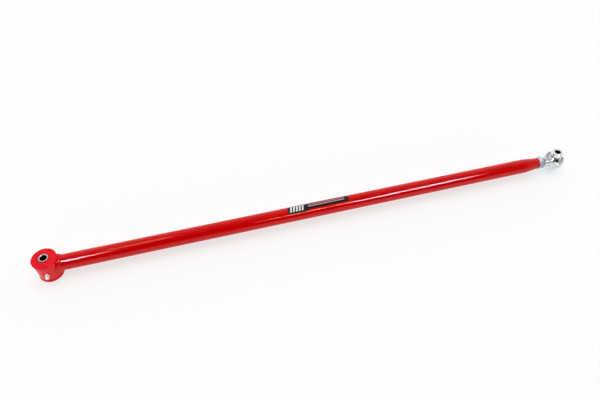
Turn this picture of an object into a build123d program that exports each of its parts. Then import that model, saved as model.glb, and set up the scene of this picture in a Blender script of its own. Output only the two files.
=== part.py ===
from build123d import *
import math
import os

# Adjustable lateral control arm (track bar) for a solid rear axle, in millimetres.
# A welded steel tube carries a polyurethane bushing on a steel sleeve at one end and a lined
# spherical rod end, screwed in and locked by a jam nut, at the other.
# Origin: centre of the bushing. +X runs along the bar to the rod end, +Z along both bolt axes.

# ---- Driving dimensions ----
CENTRE_DISTANCE = 1127.0  # between the two bolt axes, as the rod end is set at rest
BOLT_BORE_R = 6.4  # takes a 1/2 in or M12 bolt
MOUNT_WIDTH = 50.8  # between the bracket ears, the same at both ends

TUBE_R = 31.75 / 2
TUBE_WALL = 3.05
SWAGED_R = 12.0  # outside radius where the nut sits
SWAGE_LENGTH = 35.0
SWAGE_SHOULDER_RADIUS = 60.0
SWAGE_LIP_RADIUS = 1.4
TAPPED_LENGTH = 42.0
TAPPED_RUN_OUT = 8.0  # taper from the tapped bore back to the tube's own bore

SHELL_R = 45.4 / 2
SHELL_WALL = 3.05
SHELL_LENGTH = 38.1
SHELL_BREAK = 0.5  # chamfer on the shell's four rims
WELD_RISE = 3.0  # up the shell
WELD_REACH = 6.0  # along the tube

SLEEVE_R = 19.05 / 2
SLEEVE_BORE_BREAK = 0.6
SLEEVE_RIM_BREAK = 0.6
FLANGE_R = 47.6 / 2
FLANGE_THICKNESS = 5.15
FLANGE_EDGE_RADIUS = 1.3
BUSHING_PLAY = 0.05  # running clearance of the sleeve in the bushing halves
BUSHING_BORE_BREAK = 0.5
GREASE_GROOVE_R = 10.6
GREASE_GROOVE_HALF = 2.5
GREASE_HOLE_R = 1.6

THREAD_R = 19.05 / 2  # 3/4-16 UNF
THREAD_PITCH = 25.4 / 16
THREAD_DEPTH = 0.6134 * THREAD_PITCH
THREAD_TURNS = 27
THREAD_CLEARANCE = 0.06  # female threads are plain bores at the major diameter plus this
THREAD_LEAD_IN = 0.8  # countersink of each female thread and bevel of the shank's point
NUT_FLATS = 28.575
NUT_LENGTH = 9.5
NUT_TURN = 30.0  # degrees about the bar: one flat was left facing up
NUT_GAP = 0.03  # between the nut and the tube's end, so that they touch without overlap
SHANK_LENGTH = 73.0  # bolt axis to the threaded end
TUBE_END_REACH = 45.7  # bolt axis to the tube's end, as the rod end is set at rest

HEAD_R = 44.45 / 2
HEAD_WIDTH = 17.45
NECK_FLARE_R = 12.0
BALL_R = 33.34 / 2
BALL_WIDTH = 22.22
BALL_BORE_BREAK = 0.6
BALL_PLAY = 0.05  # between the ball and its liner
LINER_THICKNESS = 0.4
LINER_SET_BACK = 0.4  # from each face of the race
RACE_R = 18.2
RACE_WIDTH = 16.2
RACE_BREAK = 0.3
STAKE_OUTER_R = RACE_R - 0.7  # staking groove on each face of the race
STAKE_INNER_R = RACE_R - 1.9
STAKE_DEPTH = 0.7

SPACER_PLAY = 0.03  # of the spacer's pin in the ball
SPACER_COLLAR_R = 12.3
SPACER_WAIST_R = 10.9
SPACER_WAIST_LENGTH = 0.8
SPACER_TAPER_LENGTH = 5.2
SPACER_RIM_BREAK = 0.9
SPACER_BORE_BREAK = 0.5
SPACER_GAP = 0.2  # half the gap between the two pins inside the ball

FITTING_THREAD_R = 3.175
FITTING_THREAD_LENGTH = 2.9
FITTING_PLAY = 0.02
FITTING_HEX_FLATS = 7.94
FITTING_HEX_SEAT = 0.3  # the hexagon stands this far off the shell
FITTING_HEX_LENGTH = 3.4
FITTING_NECK_R = 2.6
FITTING_WAIST_R = 2.4
FITTING_WAIST_HEIGHT = 6.2
FITTING_GRIP_R = 3.3
FITTING_GRIP_LOW = 7.4
FITTING_GRIP_HIGH = 8.4
FITTING_HEIGHT = 10.4
PASSAGE_R = 1.15
PASSAGE_MOUTH_R = 0.7
PASSAGE_LOW = -1.6
PASSAGE_HIGH = 9.0
CHECK_BALL_R = 1.0
CHECK_BALL_HEIGHT = 8.7
SPRING_R = 0.8
SPRING_WIRE_R = 0.14
SPRING_PITCH = 0.95

LABEL_START = 481.6
LABEL_LENGTH = 133.9
LABEL_THICKNESS = 0.15
LABEL_GAP = 0.01
LABEL_CORNER_RADIUS = 5.0
LABEL_CENTRE_ANGLE = 94.0  # round the tube from -Y, up towards +Z
LABEL_HALF_ANGLE = 43.0

# ---- Stations along the bar and up the bolt axes ----
THREAD_START = CENTRE_DISTANCE - SHANK_LENGTH + THREAD_LEAD_IN
NECK_START = THREAD_START + THREAD_TURNS * THREAD_PITCH
ARM_END = CENTRE_DISTANCE - TUBE_END_REACH
SWAGE_START = ARM_END - SWAGE_LENGTH
TAPPED_R = THREAD_R + THREAD_CLEARANCE
MOUNT_TOP = MOUNT_WIDTH / 2
SHELL_TOP = SHELL_LENGTH / 2
PAST = 0.1  # how far a cutter runs past the face that it opens


def turned_about_z(outline):
    """Solid of revolution about Z from (radius, height) corners."""
    return revolve(Plane.XZ * make_face(Polyline(*outline, close=True)), Axis.Z)


def turned_about_x(outline):
    """Solid of revolution about X from (station, radius) corners."""
    return revolve(make_face(Polyline(*outline, close=True)), Axis.X)


def rims_at(solid, radius, station):
    """Circular edges about X of the given radius and station."""
    return [
        edge
        for edge in solid.edges().filter_by(GeomType.CIRCLE)
        if abs(edge.radius - radius) < 0.01 and abs(edge.arc_center.X - station) < 0.01
    ]


def ring(inner, outer, half_length, break_in, break_out):
    """Round collar about Z, centred on the origin, with its four rims chamfered."""
    return turned_about_z([
        (inner + break_in, -half_length),
        (outer - break_out, -half_length),
        (outer, -half_length + break_out),
        (outer, half_length - break_out),
        (outer - break_out, half_length),
        (inner + break_in, half_length),
        (inner, half_length - break_in),
        (inner, -half_length + break_in),
    ])


def plug(radius, low, high, lead_in):
    """Cutter for a bore about Z, countersunk at both faces."""
    return turned_about_z([
        (0, low - PAST),
        (radius + lead_in, low - PAST),
        (radius, low + lead_in - PAST),
        (radius, high - lead_in + PAST),
        (radius + lead_in, high + PAST),
        (0, high + PAST),
    ])


def rod_along_x(radius, start, end):
    return Pos((start + end) / 2, 0, 0) * Rot(0, 90, 0) * Cylinder(radius, end - start)


def hex_prism(across_flats, length):
    """Hexagonal prism standing on Z = 0, with its corners turned off at both ends."""
    corner_r = across_flats / math.sqrt(3)
    face_r = across_flats / 2 - 0.2
    turn_off = (corner_r - across_flats / 2) * 0.6
    blank = extrude(RegularPolygon(across_flats / 2, 6, major_radius=False), length)
    envelope = turned_about_z([
        (0, 0),
        (face_r, 0),
        (corner_r, turn_off),
        (corner_r, length - turn_off),
        (face_r, length),
        (0, length),
    ])
    return blank & envelope


# ---- Welded arm: tube, shell and their weld ----
def main_tube():
    """Tube coped to the shell at one end; the other is swaged down and tapped for the rod end."""
    inner_r = TUBE_R - TUBE_WALL
    bore_end = ARM_END - TAPPED_LENGTH
    blank = turned_about_x([
        (0, inner_r),
        (bore_end - TAPPED_RUN_OUT, inner_r),
        (bore_end, TAPPED_R),
        (ARM_END - THREAD_LEAD_IN, TAPPED_R),
        (ARM_END, TAPPED_R + THREAD_LEAD_IN),
        (ARM_END, SWAGED_R),
        (SWAGE_START, TUBE_R),
        (0, TUBE_R),
    ])
    blank = fillet(rims_at(blank, SWAGED_R, ARM_END), SWAGE_LIP_RADIUS)
    blank = fillet(rims_at(blank, TUBE_R, SWAGE_START), SWAGE_SHOULDER_RADIUS)
    return blank - Cylinder(SHELL_R, 4 * TUBE_R)


def bushing_shell():
    """Short tube welded across the bar's end, tapped for the grease fitting."""
    shell = ring(SHELL_R - SHELL_WALL, SHELL_R, SHELL_TOP, SHELL_BREAK, SHELL_BREAK)
    tapping = Pos(0, -SHELL_R, 0) * Rot(90, 0, 0) * Cylinder(FITTING_THREAD_R, 4 * SHELL_WALL)
    return shell - tapping


def eye_weld():
    """Fillet weld that follows the saddle line between the tube and the shell."""
    around_tube = rod_along_x(TUBE_R + WELD_RISE, 0, 2 * SHELL_R)
    around_shell = Cylinder(SHELL_R + WELD_REACH, 4 * TUBE_R)
    bead = around_tube & around_shell
    bead = bead - Cylinder(SHELL_R, 4 * TUBE_R) - rod_along_x(TUBE_R, 0, 2 * SHELL_R)
    outer_face = max(bead.faces(), key=lambda face: face.bounding_box().max.Z)
    outer_edges = [
        edge
        for edge in outer_face.edges()
        if abs(math.hypot((edge @ 0.5).X, (edge @ 0.5).Y) - SHELL_R - WELD_REACH) < 0.01
    ]
    return chamfer(outer_edges, 0.8 * WELD_REACH, 0.75 * WELD_RISE, reference=outer_face)


# ---- Bushing end ----
def bushing_half():
    """Upper half bushing: a plug in the shell and a flange on its rim. The lower half mirrors it."""
    bore_r = SLEEVE_R + BUSHING_PLAY
    plug_r = SHELL_R - SHELL_WALL
    flange_top = SHELL_TOP + FLANGE_THICKNESS
    body = turned_about_z([
        (GREASE_GROOVE_R, 0),
        (plug_r, 0),
        (plug_r, SHELL_TOP - SHELL_BREAK),
        (plug_r + SHELL_BREAK, SHELL_TOP),
        (FLANGE_R, SHELL_TOP),
        (FLANGE_R, flange_top),
        (bore_r + BUSHING_BORE_BREAK, flange_top),
        (bore_r, flange_top - BUSHING_BORE_BREAK),
        (bore_r, GREASE_GROOVE_HALF),
        (GREASE_GROOVE_R, GREASE_GROOVE_HALF),
    ])
    flange_rims = [
        edge
        for edge in body.edges().filter_by(GeomType.CIRCLE)
        if abs(edge.radius - FLANGE_R) < 0.01
    ]
    body = fillet(flange_rims, FLANGE_EDGE_RADIUS)
    grease_hole = Cylinder(GREASE_HOLE_R, plug_r + 2)
    return body - Pos(0, -plug_r / 2, 0) * Rot(90, 0, 0) * grease_hole


def inner_sleeve():
    """Steel sleeve that the bracket ears clamp; the bushing turns on it."""
    return ring(BOLT_BORE_R, SLEEVE_R, MOUNT_TOP, SLEEVE_BORE_BREAK, SLEEVE_RIM_BREAK)


# ---- Grease fitting, built along Z from the shell's surface and then turned to face -Y ----
FITTING_PLACE = Pos(0, -SHELL_R, 0) * Rot(90, 0, 0)


def grease_fitting_body():
    """Straight nipple: screwed stem, hexagon, neck, coupler head and a through passage."""
    thread_r = FITTING_THREAD_R - FITTING_PLAY
    stem = turned_about_z([
        (0, -FITTING_THREAD_LENGTH),
        (thread_r - 0.4, -FITTING_THREAD_LENGTH),
        (thread_r, -FITTING_THREAD_LENGTH + 0.4),
        (thread_r, FITTING_HEX_SEAT),
        (FITTING_NECK_R, FITTING_HEX_SEAT),
        (FITTING_NECK_R, FITTING_HEX_SEAT + FITTING_HEX_LENGTH + 0.7),
        (FITTING_WAIST_R, FITTING_WAIST_HEIGHT),
        (FITTING_GRIP_R, FITTING_GRIP_LOW),
        (FITTING_GRIP_R, FITTING_GRIP_HIGH),
        (FITTING_GRIP_R - 0.6, FITTING_HEIGHT - 0.8),
        (FITTING_GRIP_R - 1.6, FITTING_HEIGHT),
        (0, FITTING_HEIGHT),
    ])
    hexagon = Pos(0, 0, FITTING_HEX_SEAT) * hex_prism(FITTING_HEX_FLATS, FITTING_HEX_LENGTH)
    passage = turned_about_z([
        (0, -FITTING_THREAD_LENGTH - PAST),
        (PASSAGE_MOUTH_R, -FITTING_THREAD_LENGTH - PAST),
        (PASSAGE_MOUTH_R, PASSAGE_LOW - 0.2),
        (PASSAGE_R, PASSAGE_LOW),
        (PASSAGE_R, PASSAGE_HIGH),
        (PASSAGE_MOUTH_R, PASSAGE_HIGH + 0.6),
        (PASSAGE_MOUTH_R + 0.2, FITTING_HEIGHT + PAST),
        (0, FITTING_HEIGHT + PAST),
    ])
    return FITTING_PLACE * (stem + hexagon - passage)


def grease_fitting_ball():
    return FITTING_PLACE * Pos(0, 0, CHECK_BALL_HEIGHT) * Sphere(CHECK_BALL_R)


def grease_fitting_spring():
    """Coil spring that holds the check ball on its seat."""
    touch = SPRING_WIRE_R + FITTING_PLAY
    foot = PASSAGE_LOW + touch
    top = CHECK_BALL_HEIGHT - CHECK_BALL_R - touch
    coil = Pos(0, 0, foot) * Helix(pitch=SPRING_PITCH, height=top - foot, radius=SPRING_R)
    section = Plane(origin=coil @ 0, z_dir=coil % 0) * Circle(SPRING_WIRE_R)
    return FITTING_PLACE * sweep(section, path=coil)


# ---- Rod end ----
def rod_end_forging():
    """Neck and head, turned about the bar and then faced flat above and below."""
    reach = math.sqrt((HEAD_R + NECK_FLARE_R) ** 2 - (THREAD_R + NECK_FLARE_R) ** 2)
    flare_start = CENTRE_DISTANCE - reach
    flare_turn = math.atan2(reach, THREAD_R + NECK_FLARE_R)
    flare_middle = (
        flare_start + NECK_FLARE_R * math.sin(flare_turn / 2),
        THREAD_R + NECK_FLARE_R * (1 - math.cos(flare_turn / 2)),
    )
    join = (
        CENTRE_DISTANCE - HEAD_R * math.sin(flare_turn),
        HEAD_R * math.cos(flare_turn),
    )
    outline = Polyline(
        (CENTRE_DISTANCE + HEAD_R, 0),
        (NECK_START, 0),
        (NECK_START, THREAD_R - THREAD_LEAD_IN),
        (NECK_START + THREAD_LEAD_IN, THREAD_R),
        (flare_start, THREAD_R),
    )
    outline += ThreePointArc((flare_start, THREAD_R), flare_middle, join)
    outline += ThreePointArc(join, (CENTRE_DISTANCE, HEAD_R), (CENTRE_DISTANCE + HEAD_R, 0))
    turned = revolve(make_face(outline), Axis.X)
    return turned & (Pos(CENTRE_DISTANCE, 0, 0) * Box(4 * HEAD_R, 4 * HEAD_R, HEAD_WIDTH))


def threaded_shank():
    """Shank below the neck, with one ridge of the thread per pitch."""
    root_r = THREAD_R - THREAD_DEPTH
    flank = 0.35 * THREAD_PITCH
    crest = 0.12 * THREAD_PITCH
    lead = 0.18 * THREAD_PITCH
    shank_end = NECK_START + 0.4
    point = THREAD_START - THREAD_LEAD_IN
    profile = [(point, 0), (point, root_r - 0.6), (THREAD_START, root_r)]
    for turn in range(THREAD_TURNS):
        rise = THREAD_START + turn * THREAD_PITCH + lead
        profile += [
            (rise, root_r),
            (rise + flank, THREAD_R),
            (rise + flank + crest, THREAD_R),
            (rise + 2 * flank + crest, root_r),
        ]
    profile += [(shank_end, root_r), (shank_end, 0)]
    return turned_about_x(profile)


def rod_end_body():
    """Eye, neck and threaded shank in one piece; the thread's ridges are rings."""
    race_seat = Pos(CENTRE_DISTANCE, 0, 0) * Cylinder(RACE_R, 2 * HEAD_WIDTH)
    return rod_end_forging() + threaded_shank() - race_seat


def rod_end_race():
    """Steel race swaged into the eye, spherical inside, with a staking groove on each face."""
    half = RACE_WIDTH / 2
    race = ring(BALL_R / 2, RACE_R, half, RACE_BREAK, RACE_BREAK)
    groove = turned_about_z([
        (STAKE_INNER_R, half + PAST),
        (STAKE_OUTER_R, half + PAST),
        ((STAKE_INNER_R + STAKE_OUTER_R) / 2, half - STAKE_DEPTH),
    ])
    race = race - groove - mirror(groove, Plane.XY)
    return Pos(CENTRE_DISTANCE, 0, 0) * (race - Sphere(BALL_R + BALL_PLAY + LINER_THICKNESS))


def rod_end_liner():
    """Thin slippery liner bonded inside the race."""
    inner_r = BALL_R + BALL_PLAY
    shell = Sphere(inner_r + LINER_THICKNESS) - Sphere(inner_r)
    band = Box(4 * BALL_R, 4 * BALL_R, RACE_WIDTH - 2 * LINER_SET_BACK)
    return Pos(CENTRE_DISTANCE, 0, 0) * (shell & band)


def rod_end_ball():
    """Truncated ball with a plain bore."""
    half = BALL_WIDTH / 2
    ball = Sphere(BALL_R) & Box(4 * BALL_R, 4 * BALL_R, BALL_WIDTH)
    return Pos(CENTRE_DISTANCE, 0, 0) * (ball - plug(THREAD_R, -half, half, BALL_BORE_BREAK))


def misalignment_spacer():
    """Upper reducer: plugs into the ball and stands it off its bracket ear. The lower mirrors it."""
    pin_r = THREAD_R - SPACER_PLAY
    seat = BALL_WIDTH / 2 + SPACER_PLAY
    taper_start = seat + SPACER_WAIST_LENGTH
    spacer = turned_about_z([
        (BOLT_BORE_R, SPACER_GAP),
        (pin_r - BALL_BORE_BREAK, SPACER_GAP),
        (pin_r, SPACER_GAP + BALL_BORE_BREAK),
        (pin_r, seat),
        (SPACER_WAIST_R, seat),
        (SPACER_WAIST_R, taper_start),
        (SPACER_COLLAR_R, taper_start + SPACER_TAPER_LENGTH),
        (SPACER_COLLAR_R, MOUNT_TOP - SPACER_RIM_BREAK),
        (SPACER_COLLAR_R - SPACER_RIM_BREAK, MOUNT_TOP),
        (BOLT_BORE_R + SPACER_BORE_BREAK, MOUNT_TOP),
        (BOLT_BORE_R, MOUNT_TOP - SPACER_BORE_BREAK),
    ])
    return Pos(CENTRE_DISTANCE, 0, 0) * spacer


def jam_nut():
    """Thin hexagon nut between the tube's swaged end and the rod end's neck."""
    nut = hex_prism(NUT_FLATS, NUT_LENGTH) - plug(TAPPED_R, 0, NUT_LENGTH, THREAD_LEAD_IN)
    return Pos(ARM_END + NUT_GAP, 0, 0) * Rot(0, 90, 0) * Rot(0, 0, NUT_TURN) * nut


# ---- Label on the tube's upper side ----
def tube_label():
    """Thin vinyl label wrapped over the top of the tube, with rounded corners."""
    inner_r = TUBE_R + LABEL_GAP
    outer_r = inner_r + LABEL_THICKNESS
    strip = make_face(Polyline(
        (LABEL_START, inner_r),
        (LABEL_START + LABEL_LENGTH, inner_r),
        (LABEL_START + LABEL_LENGTH, outer_r),
        (LABEL_START, outer_r),
        close=True,
    ))
    # The strip starts in the XY plane at +Y, which is 180 degrees on the label's own scale.
    band = Rot(180 - LABEL_CENTRE_ANGLE - LABEL_HALF_ANGLE, 0, 0) * revolve(
        strip, Axis.X, 2 * LABEL_HALF_ANGLE
    )
    width = 2 * outer_r * math.sin(math.radians(LABEL_HALF_ANGLE))
    outline = extrude(RectangleRounded(LABEL_LENGTH, width, LABEL_CORNER_RADIUS), 2 * TUBE_R)
    lean = 90 - LABEL_CENTRE_ANGLE
    return band & (Rot(lean, 0, 0) * Pos(LABEL_START + LABEL_LENGTH / 2, 0, 0) * outline)


def mirrored_down(shape):
    return mirror(shape, Plane.XY)


PARTS = {
    "main_tube": main_tube(),
    "bushing_shell": bushing_shell(),
    "eye_weld": eye_weld(),
    "tube_label": tube_label(),
    "bushing_half_upper": bushing_half(),
    "bushing_half_lower": mirrored_down(bushing_half()),
    "inner_sleeve": inner_sleeve(),
    "grease_fitting_body": grease_fitting_body(),
    "grease_fitting_ball": grease_fitting_ball(),
    "grease_fitting_spring": grease_fitting_spring(),
    "jam_nut": jam_nut(),
    "rod_end_body": rod_end_body(),
    "rod_end_race": rod_end_race(),
    "rod_end_liner": rod_end_liner(),
    "rod_end_ball": rod_end_ball(),
    "misalignment_spacer_upper": misalignment_spacer(),
    "misalignment_spacer_lower": mirrored_down(misalignment_spacer()),
}

os.makedirs("parts", exist_ok=True)
for name, shape in PARTS.items():
    export_step(shape, f"parts/{name}.step")
    print(name, len(shape.solids()), "solid", round(shape.volume, 1), "mm3")
print("arm end", round(ARM_END, 2), "neck start", round(NECK_START, 2))
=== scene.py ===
import math

import bmesh
import bpy
from mathutils import Euler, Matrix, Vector, noise


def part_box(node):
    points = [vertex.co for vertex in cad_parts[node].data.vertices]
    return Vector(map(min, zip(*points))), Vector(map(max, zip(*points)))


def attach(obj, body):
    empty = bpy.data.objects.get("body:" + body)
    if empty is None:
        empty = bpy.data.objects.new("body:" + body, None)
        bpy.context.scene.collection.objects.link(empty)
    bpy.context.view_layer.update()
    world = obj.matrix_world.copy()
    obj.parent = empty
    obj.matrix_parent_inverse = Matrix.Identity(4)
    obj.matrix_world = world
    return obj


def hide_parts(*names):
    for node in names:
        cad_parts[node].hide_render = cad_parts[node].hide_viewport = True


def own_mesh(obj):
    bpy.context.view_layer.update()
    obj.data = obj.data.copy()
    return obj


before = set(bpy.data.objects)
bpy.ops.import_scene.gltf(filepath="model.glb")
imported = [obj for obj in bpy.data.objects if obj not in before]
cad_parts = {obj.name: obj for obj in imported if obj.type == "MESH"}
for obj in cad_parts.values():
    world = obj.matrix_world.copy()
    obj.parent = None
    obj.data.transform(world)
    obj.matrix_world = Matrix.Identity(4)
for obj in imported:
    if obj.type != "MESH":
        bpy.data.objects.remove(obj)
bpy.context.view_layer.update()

# Looks of an adjustable lateral control arm. Lengths are in metres, +X runs from the bushing to
# the rod end and +Z along the bolt axes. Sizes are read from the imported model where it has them.

MM = 0.001

# ---- Sizes from the frame ----
_, tube_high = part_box("main_tube")
TUBE_R = tube_high.y
TUBE_END = tube_high.x
_, shell_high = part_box("bushing_shell")
SHELL_R = shell_high.y
SHELL_TOP = shell_high.z
_, weld_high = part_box("eye_weld")
WELD_RISE = weld_high.z - TUBE_R
WELD_REACH = weld_high.x - SHELL_R
_, flange_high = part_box("bushing_half_upper")
FLANGE_R = flange_high.y
FLANGE_TOP = flange_high.z
sleeve_low, sleeve_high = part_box("inner_sleeve")
SLEEVE_R = sleeve_high.y
spacer_low, spacer_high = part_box("misalignment_spacer_upper")
BALL_X = (spacer_low.x + spacer_high.x) / 2
rod_low, rod_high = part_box("rod_end_body")
SHANK_POINT = rod_low.x
HEAD_R = rod_high.x - BALL_X
THREAD_R = rod_high.z
_, race_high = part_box("rod_end_race")
RACE_R = race_high.y
label_low, label_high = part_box("tube_label")
FLOOR = sleeve_low.z
ROOM = 8.0  # how far the floor and the backdrop reach
SHARP_DEGREES = 32  # faces that turn more than this meet in a crisp edge
MERGE_DISTANCE = 1e-7

# ---- Sizes the frame's boxes don't show ----
TUBE_WALL = 3.05 * MM
SWAGE_LENGTH = 35.0 * MM
SWAGE_SHOULDER_RADIUS = 60 * MM
SWAGED_R = 12.0 * MM
SWAGE_LIP_RADIUS = 1.4 * MM
PLAIN_START = 50 * MM  # the tube is plain from here to the swage
TAPPED_LENGTH = 42.0 * MM
TAPPED_RUN_OUT = 8 * MM
TAPPED_R = THREAD_R + 0.06 * MM

SHELL_WALL = 3.05 * MM
BUSHING_PLAY = 0.05 * MM
HALVES_GAP = 0.02 * MM  # each half bushing stops this far from the middle
GREASE_GROOVE_R = 10.6 * MM
GREASE_GROOVE_HALF = 2.5 * MM
BOLT_BORE_R = 6.4 * MM

THREAD_PITCH = 25.4 / 16 * MM
THREAD_DEPTH = 0.6134 * THREAD_PITCH
THREAD_TURNS = 27
THREAD_LEAD_IN = 0.8 * MM
NECK_START = SHANK_POINT + THREAD_LEAD_IN + THREAD_TURNS * THREAD_PITCH
NECK_FLARE_R = 12.0 * MM
HEAD_HALF_WIDTH = 17.45 / 2 * MM
HEAD_EDGE = 1.6 * MM  # how softly the head's flat faces end

LABEL_CENTRE_ANGLE = math.radians(94)  # round the bar, from -Y up towards +Z
LABEL_HALF_ANGLE = math.radians(43)
LABEL_CORNER_RADIUS = 4 * MM
LABEL_BOTTOM = 0.02 * MM  # above the paint
LABEL_TOP = 0.16 * MM
LABEL_BLOCK = 38 * MM  # length of its wide end
LABEL_SHOULDER = 9 * MM  # length over which it narrows
LABEL_RISE = 3.9 * MM  # how much its front edge steps back


# ---- Mesh building ----
def make_object(name, vertices, faces, sharp_degrees=SHARP_DEGREES):
    """Object in the row frame with smooth faces and sharp edges past an angle."""
    mesh = bpy.data.meshes.new(name)
    mesh.from_pydata(vertices, [], faces)
    mesh.validate()
    work = bmesh.new()
    work.from_mesh(mesh)
    bmesh.ops.remove_doubles(work, verts=work.verts, dist=MERGE_DISTANCE)
    bmesh.ops.recalc_face_normals(work, faces=work.faces)
    work.to_mesh(mesh)
    work.free()
    mesh.shade_smooth()
    mesh.set_sharp_from_angle(angle=math.radians(sharp_degrees))
    piece = bpy.data.objects.new(name, mesh)
    bpy.context.scene.collection.objects.link(piece)
    return piece


def grid_faces(rows, columns, wrap_rows=False, wrap_columns=True):
    """Quads between neighbouring points of rows by columns points."""
    faces = []
    for i in range(rows if wrap_rows else rows - 1):
        for j in range(columns if wrap_columns else columns - 1):
            below = (i + 1) % rows
            right = (j + 1) % columns
            faces.append((
                i * columns + j,
                i * columns + right,
                below * columns + right,
                below * columns + j,
            ))
    return faces


def arc_corner(before, corner, after, radius, steps):
    """Points that round one corner of an outline."""
    a = (Vector(before) - Vector(corner)).normalized()
    b = (Vector(after) - Vector(corner)).normalized()
    half = a.angle(b) / 2
    reach = radius / math.tan(half)
    centre = Vector(corner) + (a + b).normalized() * radius / math.sin(half)
    start = Vector(corner) + a * reach - centre
    turn = a.cross(b)
    sweep = (math.pi - 2 * half) * (-1 if turn > 0 else 1)
    points = []
    for step in range(steps + 1):
        angle = sweep * step / steps
        points.append((
            centre.x + start.x * math.cos(angle) - start.y * math.sin(angle),
            centre.y + start.x * math.sin(angle) + start.y * math.cos(angle),
        ))
    return points


def rounded(outline, steps=6):
    """Closed outline of (a, b, corner radius) with its corners rounded."""
    points = []
    count = len(outline)
    for index, (a, b, radius) in enumerate(outline):
        before = outline[index - 1][:2]
        after = outline[(index + 1) % count][:2]
        if radius:
            points += arc_corner(before, (a, b), after, radius, steps)
        else:
            points.append((a, b))
    return points


def lathe_z(name, outline):
    """Ring-shaped solid about the bushing's axis from a closed outline of (radius, height)."""
    segments = 160
    vertices = [
        (
            radius * math.cos(math.tau * j / segments),
            radius * math.sin(math.tau * j / segments),
            height,
        )
        for radius, height in outline
        for j in range(segments)
    ]
    return make_object(name, vertices, grid_faces(len(outline), segments, wrap_rows=True))


def around_bar(angle, radius):
    """(y, z) at an angle round the bar: 0 faces -Y and 90 degrees faces +Z."""
    return -radius * math.cos(angle), radius * math.sin(angle)


# ---- Welded arm ----
def coped_x(y):
    """Where the shell's outside lies at a distance y from the middle."""
    return math.sqrt(SHELL_R**2 - y**2)


def tube_piece():
    """Tube coped to the shell, with the swaged and tapped end."""
    segments = 192
    inner_r = TUBE_R - TUBE_WALL
    swage_start = TUBE_END - SWAGE_LENGTH
    bore_end = TUBE_END - TAPPED_LENGTH
    cope = 0.0
    outline = rounded([
        (cope, TUBE_R, 0),
        (PLAIN_START, TUBE_R, 0),
        (swage_start, TUBE_R, SWAGE_SHOULDER_RADIUS),
        (TUBE_END, SWAGED_R, SWAGE_LIP_RADIUS),
        (TUBE_END, TAPPED_R + THREAD_LEAD_IN, 0),
        (TUBE_END - THREAD_LEAD_IN, TAPPED_R, 0),
        (bore_end, TAPPED_R, 0),
        (bore_end - TAPPED_RUN_OUT, inner_r, 0),
        (cope, inner_r, 0),
    ], steps=10)
    vertices = []
    for station, radius in outline:
        for j in range(segments):
            y, z = around_bar(math.tau * j / segments, radius)
            vertices.append((station if station > cope else coped_x(y), y, z))
    return make_object("tube_skin", vertices, grid_faces(len(outline), segments, wrap_rows=True))


def weld_piece():
    """Fillet bead along the saddle line, with the ripples of the weld pool and a stop lump."""
    segments = 720
    across = 16
    ripples = 38
    ripple_height = 0.04
    ripple_bow = 1.6
    stop_angle, stop_width, stop_height = 118, 9, 0.26
    plain_size, size_drift = 0.92, 0.05
    buried = 0.4 * MM
    highest = SHELL_TOP - 0.1 * MM
    vertices = []
    for j in range(segments):
        angle = math.tau * j / segments
        lump = math.exp(-(((math.degrees(angle) - stop_angle) / stop_width) ** 2))
        drift = noise.noise(Vector((math.cos(angle), math.sin(angle), 4)))
        size = plain_size + stop_height * lump + size_drift * drift
        corner = [(-buried, 0.0), (-buried, -buried), (0.0, -buried)]
        section = []
        for step in range(across + 1):
            share = step / across
            turn = share * math.pi / 2
            crescent = ripple_bow * (share - 0.5) ** 2
            wave = 0.5 + 0.5 * math.cos(ripples * angle + math.tau * crescent)
            swell = 1 + ripple_height * wave * math.sin(turn * 2)
            section.append((
                WELD_RISE * size * swell * math.cos(turn),
                WELD_REACH * size * swell * math.sin(turn),
            ))
        for rise, reach in section + corner:
            y, z = around_bar(angle, TUBE_R + rise)
            z = max(-highest, min(highest, z))
            vertices.append((math.sqrt((SHELL_R + reach) ** 2 - y**2), y, z))
    columns = len(section + corner)
    faces = grid_faces(segments, columns, wrap_rows=True)
    return make_object("weld_bead", vertices, faces, sharp_degrees=60)


# ---- Bushing end ----
def bushing_piece(name, side):
    """Moulded half bushing with a soft flange rim, a slight dish and a mould line."""
    bore_r = SLEEVE_R + BUSHING_PLAY
    plug_r = SHELL_R - SHELL_WALL
    break_r = 0.5 * MM
    middle = (SHELL_TOP + FLANGE_TOP) / 2
    line = 0.12 * MM
    dished_top = FLANGE_TOP - 0.15 * MM
    outline = rounded([
        (GREASE_GROOVE_R, HALVES_GAP, 0),
        (plug_r, HALVES_GAP, 0),
        (plug_r, SHELL_TOP - break_r, 0),
        (plug_r + break_r, SHELL_TOP, 0),
        (FLANGE_R - line, SHELL_TOP, 1.1 * MM),
        (FLANGE_R - line, middle - 2 * line, 0),
        (FLANGE_R, middle, 0),
        (FLANGE_R - line, middle + 2 * line, 0),
        (FLANGE_R - line, FLANGE_TOP, 1.3 * MM),
        (FLANGE_R - 5 * MM, FLANGE_TOP, 8 * MM),
        (bore_r + 3 * MM, dished_top, 6 * MM),
        (bore_r, dished_top, 0.6 * MM),
        (bore_r, GREASE_GROOVE_HALF, 0),
        (GREASE_GROOVE_R, GREASE_GROOVE_HALF, 0),
    ])
    return lathe_z(name, [(radius, side * height) for radius, height in outline])


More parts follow.
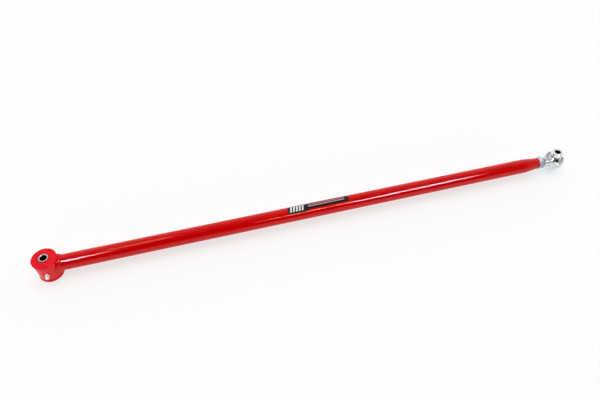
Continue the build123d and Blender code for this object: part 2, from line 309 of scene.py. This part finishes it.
# ---- Rod end ----
def thread_piece():
    """Threaded shank with a true helical ridge, cut back to a chamfered point."""
    columns = 72
    per_turn = 12
    flank, root = 0.35, 0.3
    into_neck = 0.5 * MM
    point_chamfer = 0.6 * MM
    start = SHANK_POINT
    end = NECK_START + into_neck
    point_r = THREAD_R - THREAD_DEPTH - point_chamfer
    turns = int((end - start) / THREAD_PITCH) + 2
    rows = turns * per_turn + 1
    runout = 2.2 * MM
    vertices = []
    for i in range(rows):
        phase = (i % per_turn) / per_turn
        ridge = max(0.0, min(1.0, (0.5 - abs(phase - 0.5)) / flank - root))
        for j in range(columns + 1):
            share = j / columns
            x = start + THREAD_PITCH * (i / per_turn + share - 1)
            inside = min(max(x, start), end)
            fade = min(1.0, max(0.0, (end - inside) / runout))
            groove = THREAD_DEPTH * (1 - ridge) * fade
            radius = min(THREAD_R - groove, point_r + (inside - start))
            y, z = around_bar(math.tau * share, radius)
            vertices.append((inside, y, z))
    faces = grid_faces(rows, columns + 1, wrap_columns=False)
    piece = make_object("rod_end_thread", vertices, faces)
    close_ends(piece)
    return piece


def close_ends(piece):
    """Fills each open rim of a piece with one face."""
    work = bmesh.new()
    work.from_mesh(piece.data)
    bmesh.ops.dissolve_degenerate(work, edges=work.edges, dist=MERGE_DISTANCE)
    rims = [edge for edge in work.edges if edge.is_boundary]
    bmesh.ops.holes_fill(work, edges=rims)
    bmesh.ops.recalc_face_normals(work, faces=work.faces)
    work.to_mesh(piece.data)
    work.free()
    piece.data.set_sharp_from_angle(angle=math.radians(SHARP_DEGREES))


def soft_flat(height):
    """Height cut off at the head's flat face, with a softly broken edge."""
    limit = HEAD_HALF_WIDTH - HEAD_EDGE
    if abs(height) <= limit:
        return height
    short = HEAD_EDGE * math.exp((limit - abs(height)) / HEAD_EDGE)
    return math.copysign(HEAD_HALF_WIDTH - short, height)


def head_outline():
    """(station, radius) of the neck and the round head, before they are faced flat."""
    reach = math.sqrt((HEAD_R + NECK_FLARE_R) ** 2 - (THREAD_R + NECK_FLARE_R) ** 2)
    flare_turn = math.atan2(reach, THREAD_R + NECK_FLARE_R)
    flare_start = BALL_X - reach
    flare_steps, head_steps = 12, 60
    tip_r = 0.02 * MM
    points = [
        (NECK_START, THREAD_R - THREAD_LEAD_IN),
        (NECK_START + 0.25 * MM, THREAD_R - 0.45 * MM),
        (NECK_START + THREAD_LEAD_IN, THREAD_R),
    ]
    for step in range(flare_steps + 1):
        turn = flare_turn * step / flare_steps
        points.append((
            flare_start + NECK_FLARE_R * math.sin(turn),
            THREAD_R + NECK_FLARE_R * (1 - math.cos(turn)),
        ))
    sweep = math.pi / 2 + flare_turn
    for step in range(1, head_steps + 1):
        turn = sweep * step / head_steps - flare_turn
        points.append((BALL_X + HEAD_R * math.sin(turn), max(HEAD_R * math.cos(turn), tip_r)))
    return points


def head_piece():
    """Neck and head of the rod end, turned, faced and bored for the race."""
    segments = 200
    outline = head_outline()
    vertices = []
    for station, radius in outline:
        for j in range(segments):
            y, z = around_bar(math.tau * j / segments, radius)
            vertices.append((station, y, soft_flat(z)))
    faces = grid_faces(len(outline), segments)
    faces.append(tuple(range(segments)))
    last = (len(outline) - 1) * segments
    faces.append(tuple(last + j for j in range(segments)))
    head = make_object("rod_end_head", vertices, faces)
    cutter = seat_cutter()
    cut = head.modifiers.new("seat", "BOOLEAN")
    cut.object = cutter
    cut.solver = "EXACT"
    bpy.context.view_layer.update()
    bored = bpy.data.meshes.new_from_object(head.evaluated_get(bpy.context.evaluated_depsgraph_get()))
    head.modifiers.clear()
    head.data = bored
    bpy.data.objects.remove(cutter)
    bored.shade_smooth()
    bored.set_sharp_from_angle(angle=math.radians(SHARP_DEGREES))
    return head


def seat_cutter():
    """Solid plug as wide as the race, flared at the head's two faces."""
    segments = 160
    flare = 0.4 * MM
    past = 2 * MM
    outline = [
        (RACE_R + flare + past, -HEAD_HALF_WIDTH - past),
        (RACE_R, -HEAD_HALF_WIDTH + flare),
        (RACE_R, HEAD_HALF_WIDTH - flare),
        (RACE_R + flare + past, HEAD_HALF_WIDTH + past),
    ]
    vertices = [
        (
            BALL_X + radius * math.cos(math.tau * (j + 0.5) / segments),
            radius * math.sin(math.tau * (j + 0.5) / segments),
            height,
        )
        for radius, height in outline
        for j in range(segments)
    ]
    faces = grid_faces(len(outline), segments)
    faces.append(tuple(range(segments)))
    last = (len(outline) - 1) * segments
    faces.append(tuple(last + j for j in range(segments)))
    return make_object("seat_cutter", vertices, faces)


# ---- Label ----
def smooth_step(share):
    """0 to 1 with a gentle start and end."""
    share = min(1.0, max(0.0, share))
    return share**2 * (3 - 2 * share)


def label_edges(station, length, half_width):
    """Arc lengths of the label's back and front edges at a distance from its left end."""
    from_end = min(station, length - station)
    inset = 0.0
    if from_end < LABEL_CORNER_RADIUS:
        rest = LABEL_CORNER_RADIUS - from_end
        inset = LABEL_CORNER_RADIUS - math.sqrt(LABEL_CORNER_RADIUS**2 - rest**2)
    rise = LABEL_RISE * smooth_step((station - LABEL_BLOCK) / LABEL_SHOULDER)
    return inset - half_width, half_width - rise - inset


def label_piece():
    """Wrapped vinyl label, cut narrower past its wide block; its UV map is in millimetres."""
    across, end_steps, shoulder_steps = 40, 12, 16
    length = label_high.x - label_low.x
    bottom_r = TUBE_R + LABEL_BOTTOM
    top_r = TUBE_R + LABEL_TOP
    half_width = top_r * LABEL_HALF_ANGLE
    quarter = math.pi / 2
    ends = [LABEL_CORNER_RADIUS * (1 - math.cos(quarter * k / end_steps)) for k in range(end_steps + 1)]
    steps = [LABEL_BLOCK + LABEL_SHOULDER * k / shoulder_steps for k in range(shoulder_steps + 1)]
    stations = ends + steps + [length - d for d in reversed(ends)]
    vertices = []
    for radius in (bottom_r, top_r):
        for station in stations:
            back, front = label_edges(station, length, half_width)
            for k in range(across + 1):
                arc = back + (front - back) * k / across
                y, z = around_bar(LABEL_CENTRE_ANGLE - arc / top_r, radius)
                vertices.append((label_low.x + station, y, z))
    rows = len(stations)
    columns = across + 1
    sheet = grid_faces(rows, columns, wrap_columns=False)
    above = rows * columns
    faces = sheet + [tuple(above + v for v in face) for face in sheet]
    rim = list(range(columns))
    rim += [i * columns + across for i in range(1, rows)]
    rim += [(rows - 1) * columns + k for k in range(across - 1, -1, -1)]
    rim += [i * columns for i in range(rows - 2, 0, -1)]
    for a, b in zip(rim, rim[1:] + rim[:1]):
        faces.append((a, b, b + above, a + above))
    piece = make_object("label_skin", vertices, faces)
    layer = piece.data.uv_layers.new(name="label")
    for loop in piece.data.loops:
        spot = piece.data.vertices[loop.vertex_index].co
        arc = (LABEL_CENTRE_ANGLE - math.atan2(spot.z, -spot.y)) * top_r
        layer.data[loop.index].uv = ((spot.x - label_low.x) / MM, arc / MM)
    return piece


# ---- Materials ----
def new_material(name, **values):
    """Principled material with plain socket values set; spaces in a name are underscores."""
    material = bpy.data.materials.new(name)
    material.use_nodes = True
    shader = material.node_tree.nodes["Principled BSDF"]
    for socket, value in values.items():
        shader.inputs[socket.replace("_", " ")].default_value = value
    return material, shader


def add(material, kind, settings=None, **links):
    """New node: settings are its properties, and links are sockets' values or other sockets."""
    tree = material.node_tree
    new = tree.nodes.new(kind)
    for key, value in (settings or {}).items():
        setattr(new, key, value)
    for key, value in links.items():
        socket = new.inputs[int(key[1:])] if key[1:].isdigit() else new.inputs[key.replace("_", " ")]
        if isinstance(value, bpy.types.NodeSocket):
            tree.links.new(value, socket)
        else:
            socket.default_value = value
    return new


def place(material):
    """Coordinates in the row frame, in metres."""
    return add(material, "ShaderNodeTexCoord").outputs["Object"]


def grain(material, where, size, detail=3.0, roughness=0.55):
    """Noise with blobs about size metres across."""
    return add(
        material, "ShaderNodeTexNoise", Vector=where, Scale=1 / size, Detail=detail, Roughness=roughness
    ).outputs["Fac"]


def remap(material, value, low, high, new_low, new_high):
    """Value carried from one range to another, and held at its ends."""
    return add(
        material, "ShaderNodeMapRange", s0=value, s1=low, s2=high, s3=new_low, s4=new_high
    ).outputs["Result"]


def mix_colour(material, share, a, b):
    """Colour a at share 0 and colour b at share 1."""
    mixer = add(material, "ShaderNodeMix", {"data_type": "RGBA"}, s0=share, s6=a, s7=b)
    return mixer.outputs[2]


def bump(material, height, depth, strength=1.0, normal=None):
    """Bump whose full height is depth metres."""
    links = {"Height": height, "Distance": depth, "Strength": strength}
    if normal is not None:
        links["Normal"] = normal
    return add(material, "ShaderNodeBump", **links).outputs["Normal"]


def both(material, a, b):
    """Product of two values, so 1 only where both are 1."""
    return add(material, "ShaderNodeMath", {"operation": "MULTIPLY"}, s0=a, s1=b).outputs[0]


def greater(material, a, b):
    """The larger of two values."""
    return add(material, "ShaderNodeMath", {"operation": "MAXIMUM"}, s0=a, s1=b).outputs[0]


def plug(material, output, shader, socket):
    """Links a node's output to one of the shader's sockets."""
    material.node_tree.links.new(output, shader.inputs[socket])


def red_paint(name, gloss, dark, light):
    """Glossy powder coat: fine orange peel, slow colour drift and a clear top layer."""
    material, shader = new_material(
        name, Specular_IOR_Level=0.0, Coat_Weight=gloss, Coat_Roughness=0.09, Coat_IOR=1.5
    )
    where = place(material)
    drift = remap(material, grain(material, where, 30 * MM), 0.3, 0.7, 0, 1)
    colour = mix_colour(material, drift, (*dark, 1), (*light, 1))
    peel = grain(material, where, 1.3 * MM, 2.0)
    plug(material, colour, shader, "Base Color")
    haze = remap(material, grain(material, where, 4 * MM), 0.3, 0.7, 0.30, 0.38)
    plug(material, haze, shader, "Roughness")
    plug(material, bump(material, peel, 0.012 * MM), shader, "Normal")
    plug(material, bump(material, peel, 0.010 * MM), shader, "Coat Normal")
    return material


def polyurethane():
    """Cast red polyurethane: mottled, a little waxy, with fine mould texture."""
    material, shader = new_material(
        "red_polyurethane", IOR=1.48, Specular_IOR_Level=0.12, Subsurface_Weight=0.05,
        Subsurface_Scale=0.002,
    )
    where = place(material)
    mottle = grain(material, where, 1.6 * MM, 4.0, 0.7)
    share = remap(material, mottle, 0.35, 0.65, 0, 1)
    cast = mix_colour(material, share, (0.82, 0.003, 0.012, 1), (0.98, 0.008, 0.026, 1))
    cloud = remap(material, grain(material, where, 14 * MM, 1.0), 0.40, 0.62, 0, 0.30)
    colour = mix_colour(material, cloud, cast, (0.50, 0.001, 0.004, 1))
    plug(material, colour, shader, "Base Color")
    plug(material, remap(material, mottle, 0.3, 0.7, 0.36, 0.52), shader, "Roughness")
    fine = bump(material, grain(material, where, 0.35 * MM, 2.0), 0.012 * MM)
    plug(material, bump(material, mottle, 0.03 * MM, normal=fine), shader, "Normal")
    return material


def turned_rings(material, axis, centre):
    """Distance from an axis, and coordinates made of it and of the place along that axis."""
    parts = add(material, "ShaderNodeSeparateXYZ", s0=place(material)).outputs
    squares = []
    for index in range(3):
        if index == axis:
            continue
        aside = add(
            material, "ShaderNodeMath", {"operation": "SUBTRACT"}, s0=parts[index], s1=centre[index]
        )
        square = add(material, "ShaderNodeMath", {"operation": "POWER"}, s0=aside.outputs[0], s1=2.0)
        squares.append(square.outputs[0])
    total = add(material, "ShaderNodeMath", {"operation": "ADD"}, s0=squares[0], s1=squares[1])
    radius = add(material, "ShaderNodeMath", {"operation": "SQRT"}, s0=total.outputs[0])
    rings = add(material, "ShaderNodeCombineXYZ", s0=radius.outputs[0], s1=parts[axis])
    return radius.outputs[0], rings.outputs[0]


def turned_metal(name, axis, centre, colour, tint, roughness, depth=0.004 * MM, bore_r=0, rim_r=0):
    """Machined and plated metal with turning marks and stains, maybe painted shade in its bore, and
    maybe a painted dark red rim of shade and reflection.
    """
    mark = 0.10 * MM
    bore_blur, rim_blur = 0.05 * MM, 0.1 * MM
    material, shader = new_material(name, Metallic=1.0)
    where = place(material)
    radius, turned = turned_rings(material, axis, centre)
    rings = grain(material, turned, mark, 2.0)
    stain = remap(material, grain(material, where, 5 * MM, 4.0), 0.35, 0.65, 0, 1)
    shade = mix_colour(material, stain, (*colour, 1), (*tint, 1))
    spread = remap(material, rings, 0.3, 0.7, roughness * 0.8, roughness * 1.25)
    # Painted shade: inside bore_r the metal is coloured near black, standing in for the shade in the
    # hole.
    if bore_r:
        painted_bore_shade = remap(material, radius, bore_r - bore_blur, bore_r + bore_blur, 1, 0)
        shade = mix_colour(material, painted_bore_shade, shade, (0.030, 0.031, 0.036, 1))
    # Painted shade and reflection: past rim_r the metal is coloured dark red, standing in for the shade
    # at the gap and the red bushing's reflection.
    if rim_r:
        painted_rim_shade = remap(material, radius, rim_r - rim_blur, rim_r + rim_blur, 0, 1)
        shade = mix_colour(material, painted_rim_shade, shade, (0.34, 0.012, 0.015, 1))
    plug(material, shade, shader, "Base Color")
    plug(material, spread, shader, "Roughness")
    fine = bump(material, rings, depth)
    pits = grain(material, where, 0.5 * MM, 3.0)
    plug(material, bump(material, pits, depth, 0.6, fine), shader, "Normal")
    return material


def plated_forging():
    """Satin zinc over a lightly grained surface."""
    material, shader = new_material("rod_end_zinc", Metallic=1.0)
    where = place(material)
    cloud = remap(material, grain(material, where, 6 * MM, 4.0), 0.35, 0.65, 0, 1)
    colour = mix_colour(material, cloud, (0.62, 0.64, 0.63, 1), (0.74, 0.75, 0.73, 1))
    plug(material, colour, shader, "Base Color")
    texture = grain(material, where, 0.45 * MM, 4.0, 0.6)
    plug(material, remap(material, texture, 0.3, 0.7, 0.22, 0.34), shader, "Roughness")
    plug(material, bump(material, texture, 0.012 * MM), shader, "Normal")
    return material


def liner_weave():
    """Woven slippery fabric bonded in resin."""
    material, shader = new_material("liner_weave", Roughness=0.7)
    where = place(material)
    threads = []
    for direction in ("Z", "X"):
        settings = {"wave_type": "BANDS", "bands_direction": direction}
        wave = add(material, "ShaderNodeTexWave", settings, Vector=where, Scale=900.0)
        threads.append(wave.outputs["Fac"])
    cloth = greater(material, *threads)
    colour = mix_colour(material, cloth, (0.05, 0.045, 0.035, 1), (0.16, 0.14, 0.10, 1))
    plug(material, colour, shader, "Base Color")
    plug(material, bump(material, cloth, 0.05 * MM), shader, "Normal")
    return material


def band(material, value, centre, half_width):
    """1 inside a band of a coordinate in millimetres, 0 outside."""
    soft = 0.12
    away = add(material, "ShaderNodeMath", {"operation": "SUBTRACT"}, s0=value, s1=centre)
    size = add(material, "ShaderNodeMath", {"operation": "ABSOLUTE"}, s0=away.outputs[0])
    return remap(material, size.outputs[0], half_width - soft, half_width + soft, 1.0, 0.0)


LABEL_INK = (0.008, 0.009, 0.011, 1)
LABEL_WHITE = (0.80, 0.80, 0.80, 1)
LABEL_RED = (0.80, 0.09, 0.12, 1)
LABEL_LEAN = 0.25  # how far the stripes lean back, per millimetre across the label
# Bars on the label in millimetres: middle and half width along it, middle and half width across it.
LABEL_BARS = [(7.0 + 6.3 * stripe, 1.9, 0.3, 7.6, LABEL_WHITE) for stripe in range(5)] + [
    (84.0, 40.0, -3.4, 1.7, LABEL_RED),
    (84.0, 40.0, 1.4, 0.55, LABEL_WHITE),
]


def printed_label():
    """Black satin vinyl with plain white stripes and a red band."""
    material, shader = new_material("printed_vinyl", Roughness=0.34, Specular_IOR_Level=0.22)
    flat = add(material, "ShaderNodeUVMap", {"uv_map": "label"}).outputs[0]
    parts = add(material, "ShaderNodeSeparateXYZ", s0=flat).outputs
    along, across = parts[0], parts[1]
    lean = add(
        material, "ShaderNodeMath", {"operation": "MULTIPLY_ADD"}, s0=across, s1=LABEL_LEAN, s2=along
    )
    slanted = lean.outputs[0]
    colour = LABEL_INK
    for middle, half_width, arc, half_arc, paint in LABEL_BARS:
        mask = both(
            material,
            band(material, slanted, middle, half_width),
            band(material, across, arc, half_arc),
        )
        colour = mix_colour(material, mask, colour, paint)
    plug(material, colour, shader, "Base Color")
    peel = grain(material, place(material), 2.5 * MM, 2.0)
    plug(material, bump(material, peel, 0.008 * MM), shader, "Normal")
    return material


# ---- Dressing the object ----
def paint_piece(piece, material):
    """Gives a piece one material in place of what it had."""
    piece.data.materials.clear()
    piece.data.materials.append(material)


def place_piece(piece, body, slot, material, *nodes):
    """Dresses a piece, lets it ride a body and puts it in place of CAD nodes."""
    paint_piece(piece, material)
    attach(piece, body)
    if nodes:
        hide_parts(*nodes)


def dress_arm():
    """The tube, its weld and label, and the two half bushings."""
    paint = red_paint("red_powder_coat", 0.6, (0.62, 0.0004, 0.001), (0.68, 0.0006, 0.002))
    poly = polyurethane()
    vinyl = printed_label()
    place_piece(tube_piece(), "arm", "red_paint", paint, "main_tube")
    place_piece(weld_piece(), "arm", "red_paint", paint, "eye_weld")
    place_piece(label_piece(), "arm", "label_vinyl", vinyl, "tube_label")
    for side, name in ((1, "upper"), (-1, "lower")):
        skin = bushing_piece(f"bushing_skin_{name}", side)
        place_piece(skin, "arm", "red_polyurethane", poly, f"bushing_half_{name}")


def dress_rod_end():
    """The rod end's head and its threaded shank, in place of one plain body."""
    forging = plated_forging()
    # Painted shade: the thread's zinc is coloured much darker than the head's, standing in for the shade
    # in the thread.
    shaded_thread_metal = turned_metal(
        "thread_zinc_painted_shade", 0, (0, 0, 0), (0.26, 0.28, 0.29), (0.38, 0.40, 0.41), 0.3
    )
    place_piece(head_piece(), "rod_end", "rod_end_zinc", forging, "rod_end_body")
    place_piece(thread_piece(), "rod_end", "rod_end_zinc", shaded_thread_metal, "rod_end_body")


def paint_nodes():
    """Materials for the pieces that keep the shapes they were packed with."""
    ball_centre = (BALL_X, 0, 0)
    # The spacers get painted shade in their bore and its chamfer.
    spacer_metal = turned_metal(
        "spacer_polished", 2, ball_centre, (0.80, 0.81, 0.82), (0.86, 0.87, 0.87), 0.10,
        depth=0.002 * MM, bore_r=BOLT_BORE_R + 0.5 * MM,
    )
    metals = {
        # Painted light: the shell wears a lighter red copy of the tube's powder coat, standing in for
        # the light it catches.
        "bushing_shell": red_paint(
            "shell_powder_coat_painted_light", 0.75, (0.78, 0.001, 0.004), (0.84, 0.002, 0.006)
        ),
        # The sleeve gets painted shade in its bore and a painted dark red rim of shade and reflection.
        "inner_sleeve": turned_metal(
            "sleeve_zinc", 2, (0, 0, 0), (0.72, 0.72, 0.71), (0.80, 0.79, 0.77), 0.24,
            bore_r=BOLT_BORE_R + 0.45 * MM, rim_r=SLEEVE_R - 0.55 * MM,
        ),
        "grease_fitting_body": turned_metal(
            "fitting_nickel", 1, (0, 0, 0), (0.76, 0.76, 0.74), (0.84, 0.84, 0.81), 0.30
        ),
        "grease_fitting_ball": turned_metal(
            "small_steel", 1, (0, 0, 0), (0.55, 0.55, 0.55), (0.65, 0.65, 0.65), 0.15
        ),
        "jam_nut": turned_metal(
            "nut_zinc", 0, (0, 0, 0), (0.72, 0.78, 0.85), (0.84, 0.88, 0.92), 0.27
        ),
        "rod_end_race": turned_metal(
            "race_steel", 2, ball_centre, (0.50, 0.51, 0.52), (0.60, 0.61, 0.61), 0.22
        ),
        "rod_end_liner": liner_weave(),
        "rod_end_ball": turned_metal(
            "ball_chrome", 2, ball_centre, (0.60, 0.61, 0.63), (0.68, 0.69, 0.71), 0.06, depth=0.001 * MM
        ),
        "misalignment_spacer_upper": spacer_metal,
        "misalignment_spacer_lower": spacer_metal,
    }
    metals["grease_fitting_spring"] = metals["grease_fitting_ball"]
    for node, material in metals.items():
        paint_piece(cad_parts[node], material)


def squash_spring():
    """Gives the check ball's spring a mesh of its own; its shape is left as it was."""
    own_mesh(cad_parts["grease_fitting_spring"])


# ---- Stage ----
def stage_piece(name, vertices, faces, material):
    """Plain mesh that belongs to the room and not to the object."""
    mesh = bpy.data.meshes.new(name)
    mesh.from_pydata(vertices, [], faces)
    piece = bpy.data.objects.new(name, mesh)
    bpy.context.scene.collection.objects.link(piece)
    paint_piece(piece, material)
    return piece


def floor():
    """White table that glows a little; its two tints add up to white and keep shadows grey."""
    material, _ = new_material(
        "pale_floor",
        Base_Color=(0.45, 0.36, 0.36, 1),
        Roughness=0.8,
        Specular_IOR_Level=0.0,
        Emission_Color=(0.571, 0.654, 0.654, 1),
        Emission_Strength=1.0,
    )
    square = [(-ROOM, -ROOM), (ROOM, -ROOM), (ROOM, ROOM), (-ROOM, ROOM)]
    stage_piece("floor", [(x, y, FLOOR) for x, y in square], [(0, 1, 2, 3)], material)


def backdrop():
    """White dome behind the floor; only the camera sees it, so it lights nothing."""
    material, _ = new_material(
        "pale_backdrop",
        Base_Color=(0, 0, 0, 1),
        Specular_IOR_Level=0.0,
        Emission_Color=(1, 1, 1, 1),
        Emission_Strength=1.0,
    )
    columns, rows = 48, 13
    vertices = []
    for i in range(rows):
        rise = math.pi / 2 * i / rows
        for j in range(columns):
            turn = math.tau * j / columns
            across = ROOM * math.cos(rise)
            height = FLOOR + ROOM * math.sin(rise)
            vertices.append((across * math.cos(turn), across * math.sin(turn), height))
    faces = grid_faces(rows, columns)
    faces.append(tuple(range((rows - 1) * columns, rows * columns)))
    dome = stage_piece("backdrop", vertices, faces, material)
    dome.visible_diffuse = False
    dome.visible_glossy = False
    dome.visible_transmission = False
    dome.visible_shadow = False


def add_lamp(name, light, place_at, aim_at):
    """Lamp at one point that shines towards another."""
    lamp = bpy.data.objects.new(name, light)
    lamp.location = place_at
    toward = Vector(aim_at) - Vector(place_at)
    lamp.rotation_euler = toward.to_track_quat("-Z", "Y").to_euler()
    bpy.context.scene.collection.objects.link(lamp)
    return lamp


def softbox(name, place_at, aim_at, size_x, size_y, power, colour, spread_degrees=180):
    """Bright panel that is seen in reflections only; the daylight below does the lighting."""
    light = bpy.data.lights.new(name, "AREA")
    light.shape = "RECTANGLE"
    light.size = size_x
    light.size_y = size_y
    light.energy = power
    light.color = colour
    light.spread = math.radians(spread_degrees)
    lamp = add_lamp(name, light, place_at, aim_at)
    lamp.visible_diffuse = False


def daylight(name, from_direction, spread_degrees, strength):
    """Even light from one side of the room, too wide to show in reflections."""
    light = bpy.data.lights.new(name, "SUN")
    light.angle = math.radians(spread_degrees)
    light.energy = strength
    lamp = add_lamp(name, light, from_direction, (0, 0, 0))
    lamp.visible_glossy = False


def studio():
    """White room, dark behind the camera: two cool soft boxes, two warm panels and even daylight."""
    world = bpy.data.worlds.new("studio")
    bpy.context.scene.world = world
    world.use_nodes = True
    tree = world.node_tree
    background = tree.nodes["Background"]
    direction = add(world, "ShaderNodeTexCoord").outputs["Generated"]
    parts = add(world, "ShaderNodeSeparateXYZ", s0=direction).outputs
    beyond = remap(world, parts[1], -0.35, 0.25, 0.0, 1.0)
    below_ceiling = remap(world, parts[2], 0.55, 0.95, 1.0, 0.22)
    far_wall = both(world, beyond, below_ceiling)
    right_wall = remap(world, parts[0], 0.52, 0.77, 0.0, 0.8)
    left_wall = remap(world, parts[0], -0.35, -0.65, 0.0, 0.8)
    sides = greater(world, right_wall, left_wall)
    side_walls = both(world, sides, remap(world, parts[2], 0.3, 0.8, 1.0, 0.1))
    room = greater(world, far_wall, side_walls)
    tree.links.new(room, background.inputs["Strength"])
    background.inputs["Color"].default_value = (1.0, 1.0, 1.0, 1)
    cool = (0.74, 0.86, 1.0)
    warm = (1.0, 0.52, 0.26)
    softbox("box_left", (-0.31, -0.55, 1.10), (0.0, 0, 0), 0.26, 0.32, 11, cool)
    softbox("box_right", (1.29, -0.82, 0.94), (0.75, 0, 0), 0.60, 0.22, 20, cool)
    softbox("warm_strip", (0.76, -0.885, 0.92), (0.50, 0, 0), 0.48, 0.08, 0.28, warm, spread_degrees=40)
    softbox("warm_panel", (-0.03, 0.03, 1.50), (-0.03, 0.03, 0), 0.30, 0.50, 2.8, warm)
    daylight("daylight", (0.0, 0.08, 0.99), 60, 1.55)
    daylight("front_fill", (-0.1, -1.0, 0.05), 30, 0.8)
    bpy.context.scene.view_settings.view_transform = "Standard"


def camera():
    """Camera above and in front of the arm: turned right, looking down, held almost level."""
    yaw = math.radians(16.118)
    pitch = math.radians(49.238)
    roll = math.radians(0.822)
    lens = bpy.data.cameras.new("camera")
    lens.sensor_width = 36
    lens.lens = 29.83
    eye = bpy.data.objects.new("camera", lens)
    eye.location = (0.3215, -0.6437, 0.8187)
    turn = Euler((0, 0, -yaw)).to_matrix() @ Euler((math.pi / 2 - pitch, 0, 0)).to_matrix()
    eye.rotation_euler = (turn @ Euler((0, 0, roll)).to_matrix()).to_euler()
    bpy.context.scene.collection.objects.link(eye)
    bpy.context.scene.camera = eye


camera()
studio()
floor()
backdrop()
dress_arm()
dress_rod_end()
paint_nodes()
squash_spring()
